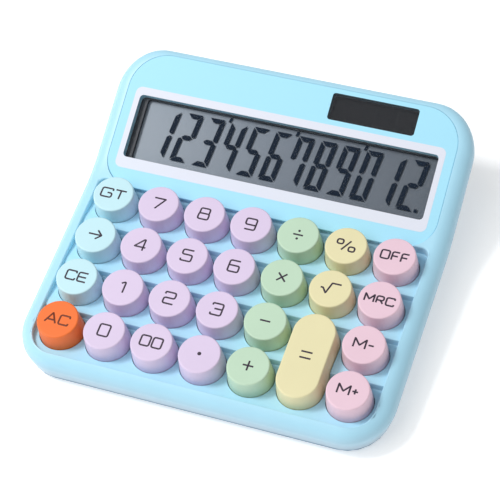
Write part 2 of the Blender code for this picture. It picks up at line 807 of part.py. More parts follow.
# ---- assembly ----------------------------------------------------------------------------------
def build():
    clear_scene()
    keyboard = make_datum("keyboard_frame", KEYBOARD)
    display = make_datum("display_frame", DISPLAY)

    case_plastic = plastic("case_plastic", (0.42, 0.78, 0.93), 0.42)
    rubber = plastic("foot_rubber", (0.05, 0.05, 0.055), 0.8)
    steel = plastic("plated_steel", (0.7, 0.7, 0.72), 0.3, 1.0)
    display_materials = {
        "plate": plastic("printed_plate", (0.45, 0.84, 0.98), 0.2),
        "lcd": plastic("lcd_glass", (0.30, 0.35, 0.40), 0.2),
        "frame": plastic("holder_plastic", (0.85, 0.85, 0.85), 0.5),
        "solar": plastic("solar_glass", (0.03, 0.03, 0.04), 0.2),
    }

    make_top_case(keyboard, display, case_plastic)
    make_bottom_case(case_plastic)
    make_battery_door(case_plastic)
    make_feet(rubber)
    make_screws(steel)
    make_battery(plastic("cell_sleeve", (0.10, 0.12, 0.15), 0.35), steel)
    make_display(display, display_materials)
    make_ribbon(plastic("ribbon_film", (0.62, 0.42, 0.18), 0.4))
    make_leads(plastic("lead_red", (0.60, 0.04, 0.03), 0.5), plastic("lead_black", (0.03, 0.03, 0.03), 0.5))
    board_green = plastic("board_green", (0.06, 0.24, 0.12), 0.5)
    make_board(keyboard, board_green, plastic("chip_resin", (0.02, 0.02, 0.02), 0.4))
    make_mat(keyboard, plastic("mat_silicone", (0.75, 0.77, 0.78), 0.7))
    make_keys(keyboard)


build()
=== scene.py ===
"""Looks of the desk calculator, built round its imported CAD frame.

Lengths are in metres in the CAD's own frame. Two tilted frames repeat the CAD's: KEYBOARD has z = 0 on the
key tops, and DISPLAY has z = 0 on the face of the display plate with y up its slope.
"""

import math

import bmesh
import bpy
from mathutils import Matrix, Vector


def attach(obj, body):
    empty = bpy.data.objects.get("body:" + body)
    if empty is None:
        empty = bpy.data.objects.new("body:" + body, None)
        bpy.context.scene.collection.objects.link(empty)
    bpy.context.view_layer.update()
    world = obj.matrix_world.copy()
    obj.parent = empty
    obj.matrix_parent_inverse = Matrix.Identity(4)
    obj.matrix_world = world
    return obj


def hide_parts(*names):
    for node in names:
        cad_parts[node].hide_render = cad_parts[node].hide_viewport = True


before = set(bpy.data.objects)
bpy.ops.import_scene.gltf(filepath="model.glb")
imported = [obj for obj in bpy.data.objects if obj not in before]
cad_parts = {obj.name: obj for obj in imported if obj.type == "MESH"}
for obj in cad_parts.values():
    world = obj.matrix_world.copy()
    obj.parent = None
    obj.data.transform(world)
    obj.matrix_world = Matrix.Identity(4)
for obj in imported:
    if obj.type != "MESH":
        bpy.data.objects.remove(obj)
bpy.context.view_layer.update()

MM = 0.001
KEY_TILT = math.radians(4.0)
DISPLAY_TILT = math.radians(22.3)
PITCH_X, PITCH_Y = 19.05 * MM, 19.4 * MM
RIM_DROP = 5.9 * MM
KEYBOARD = Matrix.Translation((0, -54.7 * MM, 21.5 * MM)) @ Matrix.Rotation(KEY_TILT, 4, "X")
HINGE = KEYBOARD @ Vector((0, 71 * MM, -RIM_DROP))
DISPLAY = Matrix.Translation(HINGE) @ Matrix.Rotation(DISPLAY_TILT, 4, "X")

KEY_ROWS = (
    ("gt", "7", "8", "9", "divide", "percent", "off"),
    ("shift", "4", "5", "6", "multiply", "root", "mrc"),
    ("ce", "1", "2", "3", "minus", None, "m_minus"),
    ("ac", "0", "00", "point", "plus", "equals", "m_plus"),
)
KEY_FAMILY = {
    "gt": "cyan", "shift": "cyan", "ce": "cyan", "ac": "orange",
    "divide": "green", "multiply": "green", "minus": "green", "plus": "green",
    "percent": "yellow", "root": "yellow", "equals": "yellow",
    "off": "pink", "mrc": "pink", "m_minus": "pink", "m_plus": "pink",
}


# ---- working on a mesh by hand -------------------------------------------------------------------
def clear_selection():
    if bpy.context.object and bpy.context.object.mode != "OBJECT":
        bpy.ops.object.mode_set(mode="OBJECT")
    bpy.ops.object.select_all(action="DESELECT")


def take(piece):
    """Makes the piece the only selected object and the active one."""
    clear_selection()
    bpy.context.view_layer.objects.active = piece
    piece.select_set(True)


def open_mesh(piece):
    take(piece)
    bpy.ops.object.mode_set(mode="EDIT")


def close_mesh():
    bpy.ops.object.mode_set(mode="OBJECT")


def choose(piece, kind, test):
    """Selects only the vertices, edges or faces that pass the test, in an open mesh."""
    bpy.ops.mesh.select_mode(type=kind)
    bpy.ops.mesh.select_all(action="DESELECT")
    shape = bmesh.from_edit_mesh(piece.data)
    items = {"VERT": shape.verts, "EDGE": shape.edges, "FACE": shape.faces}[kind]
    count = 0
    for item in items:
        if test(item):
            item.select_set(True)
            count += 1
    shape.select_flush_mode()
    bmesh.update_edit_mesh(piece.data)
    return count


def near(a, b, slack=0.02 * MM):
    return abs(a - b) < slack


def at_height(height):
    """A test for edges that lie level at this height."""
    return lambda edge: all(near(v.co.z, height) for v in edge.verts)


def upright(edge):
    start, end = (v.co for v in edge.verts)
    return near(start.x, end.x) and near(start.y, end.y) and not near(start.z, end.z)


def soften(piece, test, radius, segments):
    """Rounds the edges that pass the test."""
    open_mesh(piece)
    if choose(piece, "EDGE", test):
        bpy.ops.mesh.bevel(offset=radius, segments=segments, profile=0.5, affect="EDGES")
    close_mesh()


def block(name, low, high):
    """A cube stretched between two corners."""
    clear_selection()
    low, high = Vector(low), Vector(high)
    bpy.ops.mesh.primitive_cube_add(size=1, location=(low + high) / 2)
    piece = bpy.context.object
    piece.name = name
    piece.scale = high - low
    bpy.ops.object.transform_apply(location=True, rotation=False, scale=True)
    return piece


def rounded_block(name, low, high, front_radius, back_radius, segments):
    """A block with rounded upright corners, one radius at its front and one at its back."""
    piece = block(name, low, high)
    for y, radius in ((low[1], front_radius), (high[1], back_radius)):
        soften(piece, lambda edge: upright(edge) and near(edge.verts[0].co.y, y), radius, segments)
    return piece


def drum(name, radius, low, high, sides, x=0.0, y=0.0):
    """A closed cylinder whose sides are turned by half a step, so that no corner lies on its middle line."""
    clear_selection()
    bpy.ops.mesh.primitive_cylinder_add(
        vertices=sides, radius=radius, depth=high - low, location=(x, y, (low + high) / 2),
        rotation=(0, 0, math.pi / sides),
    )
    piece = bpy.context.object
    piece.name = name
    bpy.ops.object.transform_apply(location=True, rotation=True, scale=True)
    return piece


def stretch(piece, half_length):
    """Draws a round piece out to a pill along y."""
    open_mesh(piece)
    for side in (-1, 1):
        choose(piece, "VERT", lambda v: v.co.y * side > 0)
        bpy.ops.transform.translate(value=(0, side * half_length, 0))
    close_mesh()


def join(name, pieces):
    """Makes one piece of several."""
    take(pieces[0])
    for piece in pieces[1:]:
        piece.select_set(True)
    if len(pieces) > 1:
        bpy.ops.object.join()
    pieces[0].name = name
    return pieces[0]


def carve(piece, tool):
    """Cuts the tool out of the piece and throws the tool away."""
    take(piece)
    step = piece.modifiers.new("carve", "BOOLEAN")
    step.operation = "DIFFERENCE"
    step.object = tool
    step.solver = "EXACT"
    bpy.ops.object.modifier_apply(modifier=step.name)
    bpy.data.objects.remove(tool)


def lay(piece, matrix):
    """Puts the mesh in its place; the object itself stays at the origin."""
    piece.data.transform(matrix)
    piece.data.update()
    return piece


def twin(piece, name):
    """A copy of the piece with a mesh of its own."""
    other = piece.copy()
    other.data = piece.data.copy()
    other.name = name
    bpy.context.scene.collection.objects.link(other)
    return other


def curve_mesh(name, curve):
    """Makes a mesh piece of a curve."""
    piece = bpy.data.objects.new(name, curve)
    bpy.context.scene.collection.objects.link(piece)
    take(piece)
    bpy.ops.object.convert(target="MESH")
    return bpy.context.object


def add_line(curve, points, closed):
    """Adds one run of straight lines through the points to a curve."""
    spline = curve.splines.new("POLY")
    spline.points.add(len(points) - 1)
    for knot, (x, y) in zip(spline.points, points):
        knot.co = (x, y, 0, 1)
    spline.use_cyclic_u = closed


def shade(piece, angle):
    """Smooth shading that stays sharp where faces meet at more than the angle."""
    take(piece)
    bpy.ops.object.shade_smooth_by_angle(angle=math.radians(angle))
    step = piece.modifiers.new("even", "WEIGHTED_NORMAL")
    step.keep_sharp = True
    bpy.ops.object.modifier_apply(modifier=step.name)


def settle(piece, body, finish, slot, *stands_for):
    """Gives a finished piece its material, its body and the CAD nodes that it stands for."""
    piece.data.materials.clear()
    piece.data.materials.append(finish)
    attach(piece, body)
    if stands_for:
        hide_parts(*stands_for)


# ---- materials -----------------------------------------------------------------------------------
class Varying:
    """A number that changes over a surface; sums with it add Math nodes."""

    def __init__(self, finish, socket):
        self.finish = finish
        self.socket = socket

    def step(self, operation, first, second=0.0):
        node = self.finish.node("ShaderNodeMath", {"operation": operation}, {0: first, 1: second})
        return Varying(self.finish, node.outputs[0])

    def __add__(self, other):
        return self.step("ADD", self, other)

    def __sub__(self, other):
        return self.step("SUBTRACT", self, other)

    def __rsub__(self, other):
        return self.step("SUBTRACT", other, self)

    def __mul__(self, other):
        return self.step("MULTIPLY", self, other)

    def __truediv__(self, other):
        return self.step("DIVIDE", self, other)

    def __abs__(self):
        return self.step("ABSOLUTE", self)

    def __gt__(self, other):
        return self.step("GREATER_THAN", self, other)

    def __lt__(self, other):
        return self.step("LESS_THAN", self, other)

    __radd__ = __add__
    __rmul__ = __mul__

    def wrapped(self, period):
        """Runs up to the period and down again."""
        return self.step("PINGPONG", self, period)

    def larger(self, other):
        return self.step("MAXIMUM", self, other)

    def smaller(self, other):
        return self.step("MINIMUM", self, other)


class Finish:
    """One material: fixed numbers go on its shader, and what varies is linked to it."""

    def __init__(self, name, **fixed):
        self.material = bpy.data.materials.new(name)
        self.material.use_nodes = True
        self.tree = self.material.node_tree
        self.shader = self.tree.nodes["Principled BSDF"]
        for key, value in fixed.items():
            self.shader.inputs[key.replace("_", " ")].default_value = value

    def feed(self, socket, value):
        if isinstance(value, Varying):
            value = value.socket
        if isinstance(value, bpy.types.NodeSocket):
            self.tree.links.new(value, socket)
        else:
            socket.default_value = value

    def node(self, kind, settings=None, inputs=None):
        """Adds a node: its settings are made first, then its inputs are set or linked."""
        node = self.tree.nodes.new(kind)
        settings = dict(settings or {})
        stops = settings.pop("stops", None)
        for key, value in settings.items():
            setattr(node, key, value)
        if stops:
            for _ in range(len(stops) - 2):
                node.color_ramp.elements.new(0.5)
            for element, (position, colour) in zip(node.color_ramp.elements, stops):
                element.position = position
                element.color = (*colour, 1)
        for key, value in (inputs or {}).items():
            self.feed(node.inputs[key], value)
        return node

    def place(self, matrix=None):
        """Object coordinates, or those of a tilted frame."""
        spot = self.node("ShaderNodeTexCoord").outputs["Object"]
        if matrix is None:
            return spot
        inverse = matrix.inverted()
        turned = self.node("ShaderNodeMapping", {"vector_type": "POINT"}, {
            "Vector": spot, "Location": inverse.to_translation(), "Rotation": inverse.to_euler(),
        })
        return turned.outputs[0]

    def axes(self, spot):
        split = self.node("ShaderNodeSeparateXYZ", None, {0: spot})
        return [Varying(self, socket) for socket in split.outputs]

    def noise(self, spot, size, detail=2.0, rough=0.5):
        """Cloudy noise from 0 to 1 whose patches are about size metres across."""
        node = self.node("ShaderNodeTexNoise", None, {
            "Vector": spot, "Scale": 1 / size, "Detail": detail, "Roughness": rough,
        })
        return Varying(self, node.outputs["Fac"])

    def blend(self, factor, first, second):
        node = self.node("ShaderNodeMix", {"data_type": "RGBA"}, {0: factor, 6: rgba(first), 7: rgba(second)})
        return node.outputs[2]

    def colour(self, value):
        self.feed(self.shader.inputs["Base Color"], value)

    def roughness(self, value):
        self.feed(self.shader.inputs["Roughness"], value)

    def relief(self, height, depth):
        bump = self.node("ShaderNodeBump", None, {"Height": height, "Distance": depth})
        self.feed(self.shader.inputs["Normal"], bump.outputs[0])


def linear(value):
    return value / 12.92 if value <= 0.04045 else ((value + 0.055) / 1.055) ** 2.4


def rgb(red, green, blue):
    """A colour given as 0 to 255 screen values, made linear."""
    return tuple(linear(value / 255) for value in (red, green, blue))


def rgba(value):
    return (*value, 1.0) if isinstance(value, tuple) and len(value) == 3 else value


def shift_colour(colour, factor):
    return tuple(min(1.0, value * factor) for value in colour)


def grained(finish, colour, rough, grain, grain_size, spread):
    """Gives a finish faint clouding, a fine eroded grain and uneven gloss, and returns its clouded colour."""
    spot = finish.place()
    cloud = finish.noise(spot, 14 * MM, 3.0)
    grit = finish.noise(spot, grain_size, 3.0, 0.6)
    finish.roughness(rough - 0.05 + 0.06 * cloud + 0.05 * grit)
    finish.relief(grit + 0.4 * cloud, grain)
    low, high = shift_colour(colour, 1 - spread), shift_colour(colour, 1 + spread)
    return finish.blend(cloud * 0.8 + grit * 0.2, low, high)


def moulded(name, colour, rough, grain=0.012 * MM, grain_size=0.22 * MM, spread=0.05, gleam=0.5):
    """Injection-moulded plastic, and with other grains also rubber, resin and print."""
    finish = Finish(name, IOR=1.48, Specular_IOR_Level=gleam)
    finish.colour(grained(finish, colour, rough, grain, grain_size, spread))
    return finish.material


CASE_BLUE = rgb(176, 226, 247)
# Painted shade: the grey blue that the case walls are blended towards below the rim.
PAINTED_SHADE_BLUE = rgb(158, 178, 196)
KEY_COLOURS = {
    "cyan": rgb(198, 236, 245),
    "lilac": rgb(223, 206, 234),
    "green": rgb(194, 222, 196),
    "yellow": rgb(234, 226, 180),
    "pink": rgb(237, 204, 219),
    "orange": rgb(246, 118, 46),
}
key_plastic = {
    family: moulded(f"{family}_key", colour, 0.5, grain=0.01 * MM, grain_size=0.18 * MM)
    for family, colour in KEY_COLOURS.items()
}


# ---- case ----------------------------------------------------------------------------------------
CASE_HALF, CASE_FRONT, CASE_BACK = 74 * MM, -70 * MM, 69 * MM
CASE_CORNER = 18 * MM
CASE_WALL = 3 * MM
SHELL_LOW = 3.1 * MM
SOFT_EDGE = 6 * MM
FOLD_RADIUS = 7 * MM
# The wall starts to lean this far under the rim, with a first step in.
EDGE_DROP, EDGE_INSET = 8.05 * MM, 0.36 * MM
SIDE_LEAN, FRONT_DRAFT, BACK_DRAFT = math.tan(math.radians(20)), 0.15, 0.03
ROUNDED_OFF = 0.002 * MM  # slack where places have been rounded to a thousandth of a millimetre


def rise(tilted):
    """Height that a tilted frame gains for each metre along y."""
    return tilted[2][1] / tilted[1][1]


def plane_height(tilted, drop, y):
    """Height at y, a number or a Varying, of the plane that lies drop under a tilted frame's own."""
    point = tilted @ Vector((0, 0, -drop))
    return point.z + (y - point.y) * rise(tilted)


def case_finish():
    """Pale blue plastic with painted shade: its colour turns greyer down its walls, away from the rim."""
    finish = Finish("pale_blue_case", IOR=1.48, Sheen_Weight=0.3, Sheen_Roughness=0.4)
    blue = grained(finish, CASE_BLUE, 0.41, 0.012 * MM, 0.22 * MM, 0.05)
    _, y, z = finish.axes(finish.place())
    rim = plane_height(KEYBOARD, RIM_DROP, y).larger(plane_height(DISPLAY, 0, y))
    # Painted shade: the colour is blended towards grey blue the further a surface lies below the rim.
    wall_shade = ((rim - z - 2 * MM) / (9 * MM)).larger(0).smaller(1)
    finish.colour(finish.blend(wall_shade * 0.8, blue, PAINTED_SHADE_BLUE))
    return finish.material


case_plastic = case_finish()


def sky(keyboard_drop, display_drop, fold_radius):
    """A block over the case whose underside is the keyboard slope and the display slope."""
    reach, top = 95 * MM, 90 * MM
    gap = plane_height(KEYBOARD, keyboard_drop, 0) - plane_height(DISPLAY, display_drop, 0)
    fold = gap / (rise(DISPLAY) - rise(KEYBOARD))
    piece = block("sky", (-reach, -reach, 0), (reach, reach, top))
    open_mesh(piece)
    bpy.ops.mesh.select_all(action="SELECT")
    bpy.ops.mesh.bisect(plane_co=(0, fold, 0), plane_no=(0, 1, 0))
    for y, height in (
        (-reach, plane_height(KEYBOARD, keyboard_drop, -reach)),
        (fold, plane_height(KEYBOARD, keyboard_drop, fold)),
        (reach, plane_height(DISPLAY, display_drop, reach)),
    ):
        choose(piece, "VERT", lambda v: near(v.co.z, 0) and near(v.co.y, y))
        bpy.ops.transform.translate(value=(0, 0, height))
    close_mesh()
    if fold_radius:
        soften(
            piece, lambda e: all(near(v.co.y, fold) and v.co.z < top - MM for v in e.verts), fold_radius, 5
        )
    return piece


TRAY_HALF, TRAY_FRONT, TRAY_BACK = 67.6 * MM, -11.3 * MM, 67.7 * MM
TRAY_FRONT_CORNER, TRAY_BACK_CORNER = 9.5 * MM, 3 * MM
RIDGE_TOP, TROUGH_LOW = -7.4 * MM, -10.2 * MM
RIDGE_WIDTH, RIDGE_STEP = 2.6 * MM, 0.6 * MM


def tray_floor():
    """Depth of the tray along y: the floor falls towards the back of each row, then steps up to a ridge."""
    past_wall = 3 * MM
    line = [(TRAY_FRONT - past_wall, RIDGE_TOP)]
    for row in range(len(KEY_ROWS)):
        front = (row + 0.5) * PITCH_Y - RIDGE_WIDTH / 2
        line.append((front - RIDGE_STEP, TROUGH_LOW))
        if row < len(KEY_ROWS) - 1:
            line += [(front, RIDGE_TOP), (front + RIDGE_WIDTH, RIDGE_TOP)]
    line.append((TRAY_BACK + past_wall, TROUGH_LOW))
    return line


def floor_depth(y):
    line = tray_floor()
    for (y0, z0), (y1, z1) in zip(line, line[1:]):
        if y <= y1:
            return z0 + (z1 - z0) * max(0, (y - y0) / (y1 - y0))
    return line[-1][1]


def ridge_edge(edge):
    """An edge of the tray floor that runs right across it, away from its front and back walls."""
    start, end = (v.co for v in edge.verts)
    low = max(start.z, end.z) < RIDGE_TOP + 0.01 * MM
    across = near(start.y, end.y) and abs(start.x - end.x) > TRAY_HALF
    return low and across and TRAY_FRONT + MM < start.y < TRAY_BACK - 2 * TRAY_BACK_CORNER


def tray_cutter():
    """The sunk tray as a solid: a rounded block cut across at each ridge, its underside put on the floor."""
    deep, top = -20 * MM, 8 * MM
    low, high = (-TRAY_HALF, TRAY_FRONT, deep), (TRAY_HALF, TRAY_BACK, top)
    piece = rounded_block("tray", low, high, TRAY_FRONT_CORNER, TRAY_BACK_CORNER, 8)
    open_mesh(piece)
    for y, _ in tray_floor()[1:-1]:
        bpy.ops.mesh.select_all(action="SELECT")
        bpy.ops.mesh.bisect(plane_co=(0, y, 0), plane_no=(0, 1, 0))
    shape = bmesh.from_edit_mesh(piece.data)
    levels = sorted({round(v.co.y, 6) for v in shape.verts})
    for y in levels:
        choose(piece, "VERT", lambda v: near(v.co.z, deep) and near(v.co.y, y, ROUNDED_OFF))
        bpy.ops.transform.translate(value=(0, 0, floor_depth(y) - deep))
    close_mesh()
    soften(piece, ridge_edge, 0.35 * MM, 3)
    return lay(piece, KEYBOARD)


def key_places():
    """Name and middle of every key in the keyboard frame; the tall key reaches half a row further back."""
    last_row, middle_column = len(KEY_ROWS) - 1, 3
    places = []
    for row, names in enumerate(KEY_ROWS):
        for column, name in enumerate(names):
            if name:
                y = (last_row - row) * PITCH_Y + (PITCH_Y / 2 if name == "equals" else 0)
                places.append((name, (column - middle_column) * PITCH_X, y))
    return places


def key_wells():
    """Round holes through the deck of the tray, one under each key."""
    radius, low, high = 9.0 * MM, -16 * MM, -6.4 * MM
    wells = []
    for name, x, y in key_places():
        well = drum("well", radius, low, high, 48)
        if name == "equals":
            stretch(well, PITCH_Y / 2)
        wells.append(lay(well, Matrix.Translation((x, y, 0))))
    return lay(join("wells", wells), KEYBOARD)


# Left, low, right and high edge in the display frame.
WINDOW = (-61.8 * MM, 7.5 * MM, 61.8 * MM, 33.8 * MM)
SOLAR = (14.9 * MM, 39.1 * MM, 50.0 * MM, 50.1 * MM)
SURROUND = (-64.1 * MM, 2.9 * MM, 64.1 * MM, 37.0 * MM)
LCD_PANEL = (-64 * MM, 5 * MM, 64 * MM, 36 * MM)
SHEET = (-67.91 * MM, -4.3 * MM, 67.91 * MM, 52.11 * MM)
SEAT = (-67.95 * MM, -4.35 * MM, 67.95 * MM, 52.15 * MM)
HAIRLINE = 0.02 * MM  # gap all round between a pane and its opening


def panel(name, bounds, low, high, corners, segments=6, grow=0.0):
    """A rounded block in the display frame; corners are the radii at its low and its high edge."""
    x0, y0, x1, y1 = bounds
    return rounded_block(name, (x0 - grow, y0 - grow, low), (x1 + grow, y1 + grow, high), *corners, segments)


def openings(name, depth, window_corner, solar_corner):
    """The two openings of the display plate as one tool."""
    top = 2 * MM
    return join(name, [
        panel("window", WINDOW, -depth, top, (window_corner, window_corner)),
        panel("solar", SOLAR, -depth, top, (solar_corner, solar_corner)),
    ])


def rises_from_wall(edge):
    """An edge between the upright wall and the top of the case."""
    if len(edge.link_faces) != 2:
        return False
    steep = [abs(face.normal.z) < 0.05 for face in edge.link_faces]
    up = [face.normal.z > 0.8 for face in edge.link_faces]
    return any(steep) and any(up)


def tray_rim_edge(edge):
    """An edge between the rim of the case and the upright wall of the tray."""
    slack, low = 0.05 * MM, -7.2 * MM
    for p in (KEYBOARD.inverted() @ v.co for v in edge.verts):
        if not (TRAY_FRONT - slack < p.y < TRAY_BACK + slack and p.z > low):
            return False
        if abs(p.x) > TRAY_HALF + slack:
            return False
    normals = [face.normal @ KEYBOARD.to_3x3().col[2] for face in edge.link_faces]
    return len(normals) == 2 and min(abs(n) for n in normals) < 0.1 and max(normals) > 0.7


def case_block(name, inset, bottom):
    """A block with the outline of the case, drawn in by the inset, and taller than the case."""
    corner, top = CASE_CORNER - inset, 70 * MM
    low = (inset - CASE_HALF, CASE_FRONT + inset, bottom)
    high = (CASE_HALF - inset, CASE_BACK - inset, top)
    return rounded_block(name, low, high, corner, corner, 14)


def lean_in(piece, inset, bottom):
    """Moves the foot of the case wall in: most at the sides, and more the higher the wall is there."""
    open_mesh(piece)
    bpy.ops.mesh.select_all(action="SELECT")
    bpy.ops.mesh.bisect(plane_co=HINGE, plane_no=(0, 1, 0))
    shape = bmesh.from_edit_mesh(piece.data)
    foot = sorted({(round(v.co.x, 6), round(v.co.y, 6)) for v in shape.verts if near(v.co.z, bottom)})
    corner = CASE_CORNER - inset
    for x, y in foot:
        across = max(0, abs(x) - (CASE_HALF - CASE_CORNER)) / corner
        back = max(0, y - (CASE_BACK - CASE_CORNER)) / corner
        front = max(0, CASE_FRONT + CASE_CORNER - y) / corner
        rim = max(plane_height(KEYBOARD, RIM_DROP, y), plane_height(DISPLAY, 0, y))
        depth = max(0, rim - EDGE_DROP - bottom)
        side_move = -math.copysign(across, x) * (EDGE_INSET + depth * SIDE_LEAN)
        front_move = front * (EDGE_INSET + depth * FRONT_DRAFT)
        back_move = back * (EDGE_INSET + depth * BACK_DRAFT)

        def stands_here(v):
            return near(v.co.z, bottom) and near(v.co.x, x, ROUNDED_OFF) and near(v.co.y, y, ROUNDED_OFF)

        choose(piece, "VERT", stands_here)
        bpy.ops.transform.translate(value=(side_move, front_move - back_move, 0))
    close_mesh()


def case_shell():
    shell = case_block("case_shell", 0, SHELL_LOW)
    carve(shell, sky(RIM_DROP, 0, FOLD_RADIUS))
    soften(shell, rises_from_wall, SOFT_EDGE, 8)
    lean_in(shell, 0, SHELL_LOW)
    soften(shell, at_height(SHELL_LOW), 0.5 * MM, 3)

    carve(shell, tray_cutter())
    soften(shell, tray_rim_edge, 0.7 * MM, 3)
    seat = panel("seat", SEAT, -1.8 * MM, 12 * MM, (12.3 * MM, 15.3 * MM), 12)
    carve(shell, lay(seat, DISPLAY))

    deep, deck_drop, roof_drop = -5 * MM, 11.5 * MM, 3.8 * MM
    hollow = case_block("hollow", CASE_WALL, deep)
    carve(hollow, sky(deck_drop, roof_drop, 0))
    lean_in(hollow, CASE_WALL, deep)
    carve(shell, hollow)
    carve(shell, key_wells())
    carve(shell, lay(openings("openings", 8 * MM, 2 * MM, 1.5 * MM), DISPLAY))
    shade(shell, 32)
    settle(shell, "case", case_plastic, "case_plastic", "top_case")


# ---- display -------------------------------------------------------------------------------------
WINDOW_CORNER, SOLAR_CORNER = 1.6 * MM, 1.2 * MM


def display_piece(piece, finish, slot, *stands_for):
    shade(piece, 30)
    settle(lay(piece, DISPLAY), "case", finish, slot, *stands_for)


def printed(name, colour, spread):
    """Satin print on a smooth sheet."""
    return moulded(name, colour, 0.5, grain=0.001 * MM, grain_size=1.5 * MM, spread=spread, gleam=0.3)


def make_display():
    sheet = panel("display_sheet", SHEET, -1.5 * MM, 0, (12.25 * MM, 15.25 * MM), 14)
    soften(sheet, at_height(0), 0.35 * MM, 3)
    carve(sheet, openings("holes", 3 * MM, WINDOW_CORNER, SOLAR_CORNER))
    blue = printed("blue_printed_sheet", rgb(168, 228, 250), 0.015)
    display_piece(sheet, blue, "printed_plate", "display_plate")

    window_corners, solar_corners = (WINDOW_CORNER,) * 2, (SOLAR_CORNER,) * 2
    surround = panel("window_surround", SURROUND, -0.4 * MM, 0.03 * MM, (2.6 * MM, 2.6 * MM), 8)
    carve(surround, panel("window", WINDOW, -3 * MM, 2 * MM, window_corners))
    display_piece(surround, printed("white_print", rgb(224, 228, 240), 0.01), "printed_plate")

    # Dark gasket round the window, partly painted shadow: its ledge over the LCD is widened on the left and
    # at the top to darken the strip where the window's edge casts its shadow.
    gasket = panel("window_gasket_and_shadow", WINDOW, -4.7 * MM, -3.0 * MM, window_corners, grow=-HAIRLINE)
    x0, y0, x1, y1 = WINDOW
    inside = (x0 + 2.6 * MM, y0 + 0.4 * MM, x1 - 0.4 * MM, y1 - 0.6 * MM)
    carve(gasket, panel("inside", inside, -9 * MM, 2 * MM, (1.2 * MM, 1.2 * MM)))
    display_piece(gasket, moulded("dark_gasket_and_painted_shadow", rgb(52, 56, 64), 0.5), "lcd_glass")

    pane = panel("window_pane", WINDOW, -1.0 * MM, -0.05 * MM, window_corners, grow=-HAIRLINE)
    display_piece(pane, clear_window("clear_window", rgb(30, 34, 40), 0.07), "printed_plate")
    pane = panel("solar_pane", SOLAR, -1.0 * MM, -0.02 * MM, solar_corners, grow=-HAIRLINE)
    display_piece(pane, clear_window("smoked_window", rgb(40, 43, 48), 0.45), "solar_glass")

    x0, y0, x1, y1 = LCD_PANEL
    low, high = -6.2 * MM, -4.75 * MM
    glass = block("lcd_panel_glass", (x0, y0, low), (x1, y1, high))
    soften(glass, at_height(high), 0.2 * MM, 2)
    display_piece(glass, reflector_finish(), "lcd_glass", "lcd_panel")
    make_digits()


def clear_window(name, colour, alpha):
    """Clear sheet with faint smudges; alpha is how much of its own colour shows."""
    finish = Finish(name, IOR=1.49, Alpha=alpha, Specular_IOR_Level=0.2)
    smudge = finish.noise(finish.place(DISPLAY), 9 * MM, 3.0)
    finish.colour(finish.blend(smudge, shift_colour(colour, 0.97), shift_colour(colour, 1.03)))
    finish.roughness(0.04 + 0.05 * smudge)
    return finish.material


def reflector_finish():
    """Grey reflector of a liquid-crystal panel: a metallic mottle, with painted shade that darkens it to the
    right.
    """
    finish = Finish("lcd_reflector", IOR=1.45)
    spot = finish.place(DISPLAY)
    x, _, _ = finish.axes(spot)
    mottle = finish.noise(spot, 0.25 * MM)
    cloud = finish.noise(spot, 25 * MM)
    half = 62 * MM
    # Painted shade: the colour runs from light grey at the left of the panel to dark grey at the right.
    across = (x + half) / (2 * half) + 0.1 * cloud - 0.05
    ramp = finish.node("ShaderNodeValToRGB", {"stops": [
        (0.0, rgb(143, 157, 172)), (0.5, rgb(103, 116, 132)), (1.0, rgb(77, 88, 101)),
    ]}, {0: across})
    finish.colour(finish.blend(mottle * 0.12, ramp.outputs[0], rgb(210, 218, 226)))
    finish.roughness(0.32 + 0.1 * mottle)
    finish.relief(mottle, 0.004 * MM)
    return finish.material


# ---- digits of the display -----------------------------------------------------------------------
LIT = {
    "1": "bc", "2": "abged", "3": "abgcd", "4": "fgbc", "5": "afgcd", "6": "afgedc", "7": "fabc",
    "8": "abcdefg", "9": "abfgcd", "0": "abcdef",
}
SECOND_DIGIT, DIGIT_PITCH = -39.55 * MM, 9.348 * MM
DIGIT_MIDDLE, DIGIT_SLANT = 21.1 * MM, 0.125
DIGIT_LEVEL, DIGIT_THICKNESS = -4.14 * MM, 0.04 * MM


def segment_shapes():
    """Outlines of the seven bars round the middle of a digit."""
    w, h = 3.3 * MM, 10.2 * MM  # half the width and half the height of a digit
    t, g = 1.9 * MM, 0.2 * MM  # width of a bar, and the gap at its ends
    top = [(-w + g, h), (w - g, h), (w - t - g, h - t), (-w + t + g, h - t)]
    upper = [
        (w, h - 2 * g), (w, 0.7 * MM), (w - t / 2, 1.5 * g), (w - t, t / 2 + g), (w - t, h - t - 2 * g),
    ]
    middle = [
        (-w + t / 2 + g, 0), (-w + t + g, t / 2), (w - t - g, t / 2), (w - t / 2 - g, 0),
        (w - t - g, -t / 2), (-w + t + g, -t / 2),
    ]

    def flip(points, across, up):
        return [(x * across, y * up) for x, y in points]

    return {
        "a": top, "b": upper, "c": flip(upper, 1, -1), "d": flip(top, 1, -1), "e": flip(upper, -1, -1),
        "f": flip(upper, -1, 1), "g": middle,
    }


def flat_shape(name, outlines, thickness):
    """Flat outlines filled and given a little thickness, as a mesh."""
    curve = bpy.data.curves.new(name, "CURVE")
    curve.dimensions = "2D"
    curve.fill_mode = "BOTH"
    curve.extrude = thickness / 2
    for outline in outlines:
        add_line(curve, outline, True)
    return curve_mesh(name, curve)


def digit_place(number):
    """Middle of a digit along x, counted from 1 at the left."""
    return SECOND_DIGIT + (number - 2) * DIGIT_PITCH


